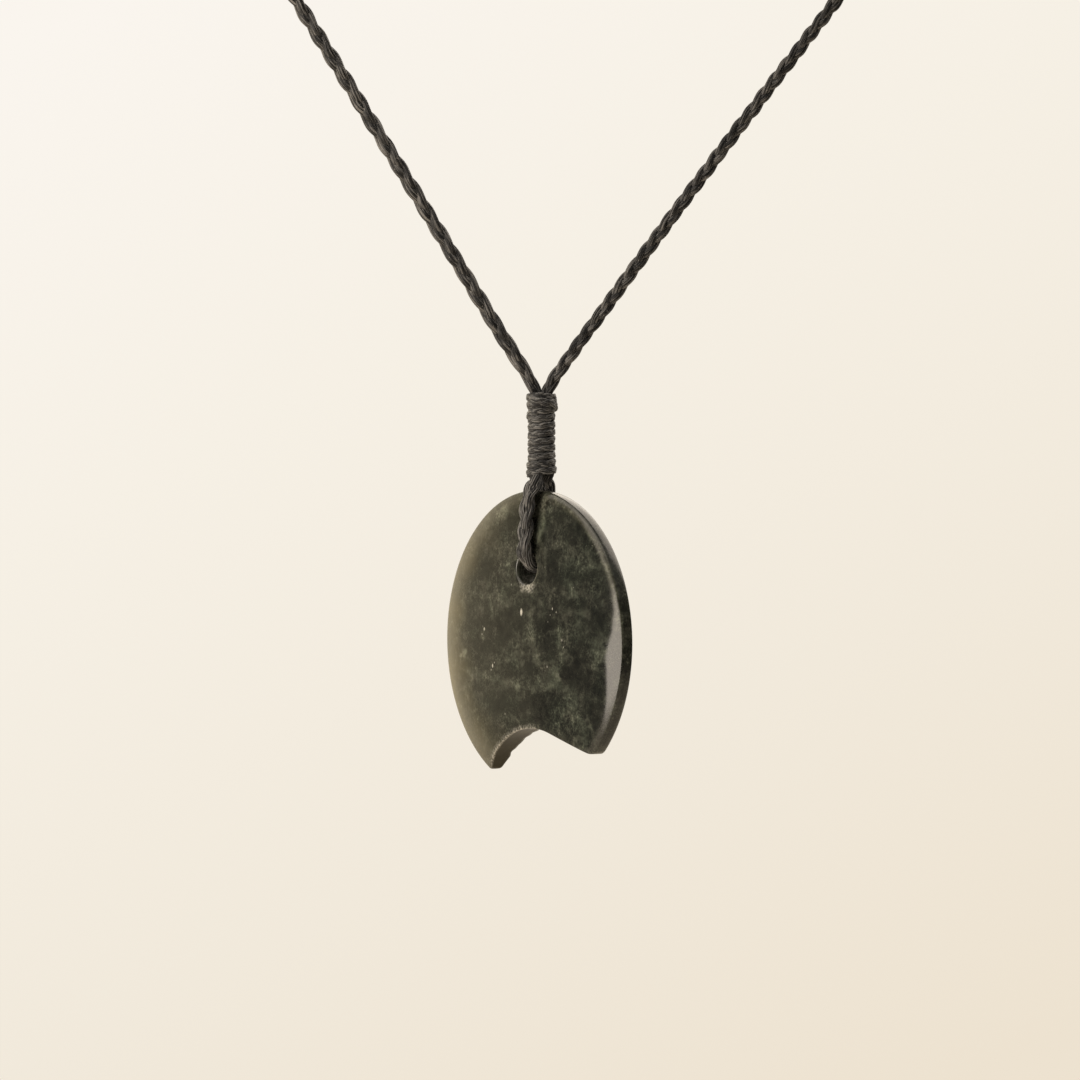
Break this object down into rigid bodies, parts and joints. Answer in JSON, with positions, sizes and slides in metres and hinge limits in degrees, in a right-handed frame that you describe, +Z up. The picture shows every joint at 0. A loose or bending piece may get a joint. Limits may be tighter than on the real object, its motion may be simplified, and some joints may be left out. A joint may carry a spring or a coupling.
{
  "type": "greenstone disc pendant on a plaited cord",
  "caption": "Polished greenstone disc pendant with a notch below and a drilled hole above, hung on a dark plaited neck cord bound with a whipping of thread.",
  "frame": {"origin": "middle of the nape binding, where the cord rests on the back of the neck", "axes": "+Z up, -Y to the wearer's front; the left neck cord is on the -X side"},
  "size_m": [0.1334, 0.1296, 0.1772],
  "materials": {
    "greenstone": "polished",
    "plaited_cord": "waxed",
    "whipping_thread": "waxed"
  },
  "bodies": {
    "cord": {"cord_loop": "plaited_cord", "binding": "whipping_thread", "neck_cord_left": "plaited_cord", "neck_cord_right": "plaited_cord", "nape_binding": "whipping_thread"},
    "stone": {"stone": "greenstone"}
  },
  "joints": [
    {"name": "stone_swing", "type": "hinge", "parent": "cord", "child": "stone", "pos_m": [-0.0064, -0.11, -0.1456], "axis": [-0.809, -0.5878, 0], "range_deg": [-20, 20]}
  ]
}
